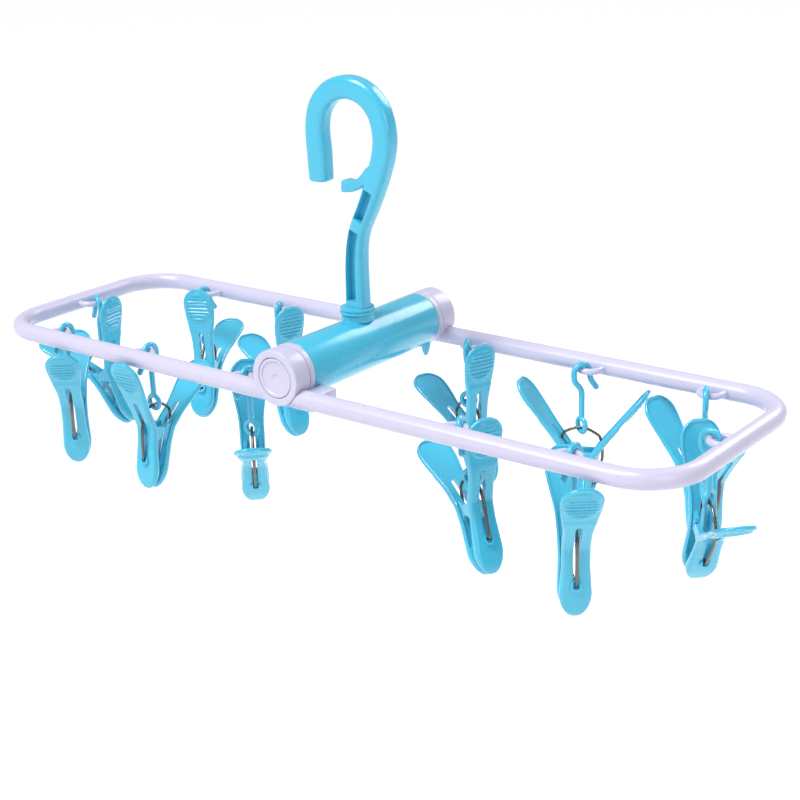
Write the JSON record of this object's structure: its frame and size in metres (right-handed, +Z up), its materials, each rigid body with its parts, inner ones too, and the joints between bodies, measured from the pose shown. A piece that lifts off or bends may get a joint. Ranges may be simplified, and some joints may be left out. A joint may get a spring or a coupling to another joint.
{
  "type": "clip drying hanger",
  "caption": "Folding clip drying hanger: white U-shaped wings on a blue hinge tube, a swivel hook on top and blue spring clips hanging from eyelets.",
  "frame": {"origin": "on the underside of the hook's bend, where the hook bears on a rail, in the middle of the hook's thickness", "axes": "+X to the right wing, +Y to the back, +Z up"},
  "size_m": [0.5082, 0.1831, 0.2355],
  "materials": {
    "white_plastic": "satin moulded polypropylene, faint lavender white",
    "blue_plastic": "glossy moulded polypropylene, light cyan blue",
    "spring_steel": "bright drawn wire"
  },
  "bodies": {
    "hook": {"hanging_hook": "blue_plastic", "swivel_retainer": "white_plastic"},
    "hub": {"hub_tube": "blue_plastic", "hinge_axle": "spring_steel", "axle_washer_front": "spring_steel", "axle_washer_back": "spring_steel"},
    "left_wing": {"wing_left": "white_plastic", "cap_plug_front": "white_plastic"},
    "right_wing": {"wing_right": "white_plastic", "cap_plug_back": "white_plastic"},
    "drop_hook_01": {"clip_hook_01": "blue_plastic"},
    "clip_01": {"clip_leg_a_01": "blue_plastic", "clip_spring_01": "spring_steel"},
    "leg_01": {"clip_leg_b_01": "blue_plastic"},
    "drop_hook_02": {"clip_hook_02": "blue_plastic"},
    "clip_02": {"clip_leg_a_02": "blue_plastic", "clip_spring_02": "spring_steel"},
    "leg_02": {"clip_leg_b_02": "blue_plastic"},
    "drop_hook_03": {"clip_hook_03": "blue_plastic"},
    "clip_03": {"clip_leg_a_03": "blue_plastic", "clip_spring_03": "spring_steel"},
    "leg_03": {"clip_leg_b_03": "blue_plastic"},
    "drop_hook_04": {"clip_hook_04": "blue_plastic"},
    "clip_04": {"clip_leg_a_04": "blue_plastic", "clip_spring_04": "spring_steel"},
    "leg_04": {"clip_leg_b_04": "blue_plastic"},
    "drop_hook_05": {"clip_hook_05": "blue_plastic"},
    "clip_05": {"clip_leg_a_05": "blue_plastic", "clip_spring_05": "spring_steel"},
    "leg_05": {"clip_leg_b_05": "blue_plastic"},
    "drop_hook_06": {"clip_hook_06": "blue_plastic"},
    "clip_06": {"clip_leg_a_06": "blue_plastic", "clip_spring_06": "spring_steel"},
    "leg_06": {"clip_leg_b_06": "blue_plastic"},
    "drop_hook_07": {"clip_hook_07": "blue_plastic"},
    "clip_07": {"clip_leg_a_07": "blue_plastic", "clip_spring_07": "spring_steel"},
    "leg_07": {"clip_leg_b_07": "blue_plastic"},
    "drop_hook_08": {"clip_hook_08": "blue_plastic"},
    "clip_08": {"clip_leg_a_08": "blue_plastic", "clip_spring_08": "spring_steel"},
    "leg_08": {"clip_leg_b_08": "blue_plastic"},
    "drop_hook_09": {"clip_hook_09": "blue_plastic"},
    "clip_09": {"clip_leg_a_09": "blue_plastic", "clip_spring_09": "spring_steel"},
    "leg_09": {"clip_leg_b_09": "blue_plastic"},
    "drop_hook_10": {"clip_hook_10": "blue_plastic"},
    "clip_10": {"clip_leg_a_10": "blue_plastic", "clip_spring_10": "spring_steel"},
    "leg_10": {"clip_leg_b_10": "blue_plastic"},
    "drop_hook_11": {"clip_hook_11": "blue_plastic"},
    "clip_11": {"clip_leg_a_11": "blue_plastic", "clip_spring_11": "spring_steel"},
    "leg_11": {"clip_leg_b_11": "blue_plastic"},
    "drop_hook_12": {"clip_hook_12": "blue_plastic"},
    "clip_12": {"clip_leg_a_12": "blue_plastic", "clip_spring_12": "spring_steel"},
    "leg_12": {"clip_leg_b_12": "blue_plastic"}
  },
  "joints": [
    {"name": "hook_swivel", "type": "hinge", "parent": "hook", "child": "hub", "pos_m": [-0.0007, 0, -0.1124], "axis": [0, 0, 1], "continuous": true},
    {"name": "left_wing_fold", "type": "hinge", "parent": "hub", "child": "left_wing", "pos_m": [-0.0007, 0, -0.1324], "axis": [0, 1, 0], "range_deg": [0, 85]},
    {"name": "right_wing_fold", "type": "hinge", "parent": "hub", "child": "right_wing", "pos_m": [-0.0007, 0, -0.1324], "axis": [0, -1, 0], "range_deg": [0, 85]},
    {"name": "hook_01_swing", "type": "hinge", "parent": "left_wing", "child": "drop_hook_01", "pos_m": [-0.1837, -0.05, -0.1424], "axis": [1, 0, 0], "range_deg": [-5, 5]},
    {"name": "clip_01_swing", "type": "hinge", "parent": "drop_hook_01", "child": "clip_01", "pos_m": [-0.1837, -0.05, -0.17415], "axis": [0.7431, 0.6691, 0], "range_deg": [-4, 4]},
    {"name": "clip_01_jaw", "type": "hinge", "parent": "clip_01", "child": "leg_01", "pos_m": [-0.18348, -0.05024, -0.19012], "axis": [0.7431, 0.6691, 0], "range_deg": [0, 16], "stiffness_Nm_per_rad": 0.06, "springref_deg": -20.05, "deforming": ["clip_spring_01"]},
    {"name": "hook_02_swing", "type": "hinge", "parent": "left_wing", "child": "drop_hook_02", "pos_m": [-0.1127, -0.05, -0.1424], "axis": [1, 0, 0], "range_deg": [-5, 5]},
    {"name": "clip_02_swing", "type": "hinge", "parent": "drop_hook_02", "child": "clip_02", "pos_m": [-0.1127, -0.05, -0.17415], "axis": [0.9976, 0.0698, 0], "range_deg": [-4, 4]},
    {"name": "clip_02_jaw", "type": "hinge", "parent": "clip_02", "child": "leg_02", "pos_m": [-0.11263, -0.05096, -0.18993], "axis": [0.9976, 0.0698, 0], "range_deg": [0, 16], "stiffness_Nm_per_rad": 0.06, "springref_deg": -20.05, "deforming": ["clip_spring_02"]},
    {"name": "hook_03_swing", "type": "hinge", "parent": "left_wing", "child": "drop_hook_03", "pos_m": [-0.0372, -0.05, -0.1424], "axis": [1, 0, 0], "range_deg": [-5, 5]},
    {"name": "clip_03_swing", "type": "hinge", "parent": "drop_hook_03", "child": "clip_03", "pos_m": [-0.0372, -0.05, -0.17415], "axis": [0.7193, 0.6947, 0], "range_deg": [-8, 0.5]},
    {"name": "clip_03_jaw", "type": "hinge", "parent": "clip_03", "child": "leg_03", "pos_m": [-0.03825, -0.04892, -0.18959], "axis": [0.7193, 0.6947, 0], "range_deg": [0, 9], "stiffness_Nm_per_rad": 0.06, "springref_deg": -20.05, "deforming": ["clip_spring_03"]},
    {"name": "hook_04_swing", "type": "hinge", "parent": "left_wing", "child": "drop_hook_04", "pos_m": [-0.2122, 0, -0.1424], "axis": [0, 1, 0], "range_deg": [-5, 5]},
    {"name": "clip_04_swing", "type": "hinge", "parent": "drop_hook_04", "child": "clip_04", "pos_m": [-0.2122, 0, -0.17415], "axis": [-0.1392, 0.9903, 0], "range_deg": [-0.5, 8]},
    {"name": "clip_04_jaw", "type": "hinge", "parent": "clip_04", "child": "leg_04", "pos_m": [-0.21031, 0.00026, -0.18922], "axis": [-0.1392, 0.9903, 0], "range_deg": [0, 16], "stiffness_Nm_per_rad": 0.06, "springref_deg": -20.05, "deforming": ["clip_spring_04"]},
    {"name": "hook_05_swing", "type": "hinge", "parent": "left_wing", "child": "drop_hook_05", "pos_m": [-0.1687, 0.05, -0.1424], "axis": [1, 0, 0], "range_deg": [-5, 5]},
    {"name": "clip_05_swing", "type": "hinge", "parent": "drop_hook_05", "child": "clip_05", "pos_m": [-0.1687, 0.05, -0.17415], "axis": [0.9135, 0.4067, 0], "range_deg": [-0.5, 8]},
    {"name": "clip_05_jaw", "type": "hinge", "parent": "clip_05", "child": "leg_05", "pos_m": [-0.1679, 0.04821, -0.18916], "axis": [0.9135, 0.4067, 0], "range_deg": [0, 16], "stiffness_Nm_per_rad": 0.06, "springref_deg": -20.05, "deforming": ["clip_spring_05"]},
    {"name": "hook_06_swing", "type": "hinge", "parent": "left_wing", "child": "drop_hook_06", "pos_m": [-0.1047, 0.05, -0.1424], "axis": [1, 0, 0], "range_deg": [-5, 5]},
    {"name": "clip_06_swing", "type": "hinge", "parent": "drop_hook_06", "child": "clip_06", "pos_m": [-0.1047, 0.05, -0.17415], "axis": [0.342, 0.9397, 0], "range_deg": [-0.5, 8]},
    {"name": "clip_06_jaw", "type": "hinge", "parent": "clip_06", "child": "leg_06", "pos_m": [-0.10307, 0.04941, -0.18939], "axis": [0.342, 0.9397, 0], "range_deg": [0, 16], "stiffness_Nm_per_rad": 0.06, "springref_deg": -20.05, "deforming": ["clip_spring_06"]},
    {"name": "hook_07_swing", "type": "hinge", "parent": "right_wing", "child": "drop_hook_07", "pos_m": [0.0358, 0.05, -0.1424], "axis": [1, 0, 0], "range_deg": [-5, 5]},
    {"name": "clip_07_swing", "type": "hinge", "parent": "drop_hook_07", "child": "clip_07", "pos_m": [0.0358, 0.05, -0.17415], "axis": [0.342, 0.9397, 0], "range_deg": [-0.5, 8]},
    {"name": "clip_07_jaw", "type": "hinge", "parent": "clip_07", "child": "leg_07", "pos_m": [0.03749, 0.04939, -0.18934], "axis": [0.342, 0.9397, 0], "range_deg": [0, 16], "stiffness_Nm_per_rad": 0.06, "springref_deg": -20.05, "deforming": ["clip_spring_07"]},
    {"name": "hook_08_swing", "type": "hinge", "parent": "right_wing", "child": "drop_hook_08", "pos_m": [0.1098, 0.05, -0.1424], "axis": [1, 0, 0], "range_deg": [-5, 5]},
    {"name": "clip_08_swing", "type": "hinge", "parent": "drop_hook_08", "child": "clip_08", "pos_m": [0.1098, 0.05, -0.17415], "axis": [-0.2924, 0.9563, 0], "range_deg": [-4, 0]},
    {"name": "clip_08_jaw", "type": "hinge", "parent": "clip_08", "child": "leg_08", "pos_m": [0.10974, 0.04998, -0.19015], "axis": [-0.2924, 0.9563, 0], "range_deg": [0, 16], "stiffness_Nm_per_rad": 0.06, "springref_deg": -20.05, "deforming": ["clip_spring_08"]},
    {"name": "hook_09_swing", "type": "hinge", "parent": "right_wing", "child": "drop_hook_09", "pos_m": [0.1823, 0.05, -0.1424], "axis": [1, 0, 0], "range_deg": [-5, 2]},
    {"name": "clip_09_swing", "type": "hinge", "parent": "drop_hook_09", "child": "clip_09", "pos_m": [0.1823, 0.05, -0.17415], "axis": [0.2924, 0.9563, 0], "range_deg": [-4, 0]},
    {"name": "clip_09_jaw", "type": "hinge", "parent": "clip_09", "child": "leg_09", "pos_m": [0.18255, 0.04992, -0.19013], "axis": [0.2924, 0.9563, 0], "range_deg": [0, 5], "stiffness_Nm_per_rad": 0.06, "springref_deg": -20.05, "deforming": ["clip_spring_09"]},
    {"name": "hook_10_swing", "type": "hinge", "parent": "right_wing", "child": "drop_hook_10", "pos_m": [0.2108, 0, -0.1424], "axis": [0, 1, 0], "range_deg": [-5, 5]},
    {"name": "clip_10_swing", "type": "hinge", "parent": "drop_hook_10", "child": "clip_10", "pos_m": [0.2108, 0, -0.17415], "axis": [0.7071, 0.7071, 0], "range_deg": [-8, 0.5]},
    {"name": "clip_10_jaw", "type": "hinge", "parent": "clip_10", "child": "leg_10", "pos_m": [0.20974, 0.00106, -0.18959], "axis": [0.7071, 0.7071, 0], "range_deg": [0, 9], "stiffness_Nm_per_rad": 0.06, "springref_deg": -20.05, "deforming": ["clip_spring_10"]},
    {"name": "hook_11_swing", "type": "hinge", "parent": "right_wing", "child": "drop_hook_11", "pos_m": [0.1673, -0.05, -0.1424], "axis": [1, 0, 0], "range_deg": [-5, 5]},
    {"name": "clip_11_swing", "type": "hinge", "parent": "drop_hook_11", "child": "clip_11", "pos_m": [0.1673, -0.05, -0.17415], "axis": [0.766, 0.6428, 0], "range_deg": [-4, 4]},
    {"name": "clip_11_jaw", "type": "hinge", "parent": "clip_11", "child": "leg_11", "pos_m": [0.16751, -0.05025, -0.19012], "axis": [0.766, 0.6428, 0], "range_deg": [0, 16], "stiffness_Nm_per_rad": 0.06, "springref_deg": -20.05, "deforming": ["clip_spring_11"]},
    {"name": "hook_12_swing", "type": "hinge", "parent": "right_wing", "child": "drop_hook_12", "pos_m": [0.1034, -0.05, -0.1424], "axis": [1, 0, 0], "range_deg": [0, 5]},
    {"name": "clip_12_swing", "type": "hinge", "parent": "drop_hook_12", "child": "clip_12", "pos_m": [0.1034, -0.04152, -0.173], "axis": [0.4384, 0.8988, 0], "range_deg": [0, 8]},
    {"name": "clip_12_jaw", "type": "hinge", "parent": "clip_12", "child": "leg_12", "pos_m": [0.10494, -0.04226, -0.18826], "axis": [0.4384, 0.8988, 0], "range_deg": [0, 16], "stiffness_Nm_per_rad": 0.06, "springref_deg": -20.05, "deforming": ["clip_spring_12"]}
  ]
}
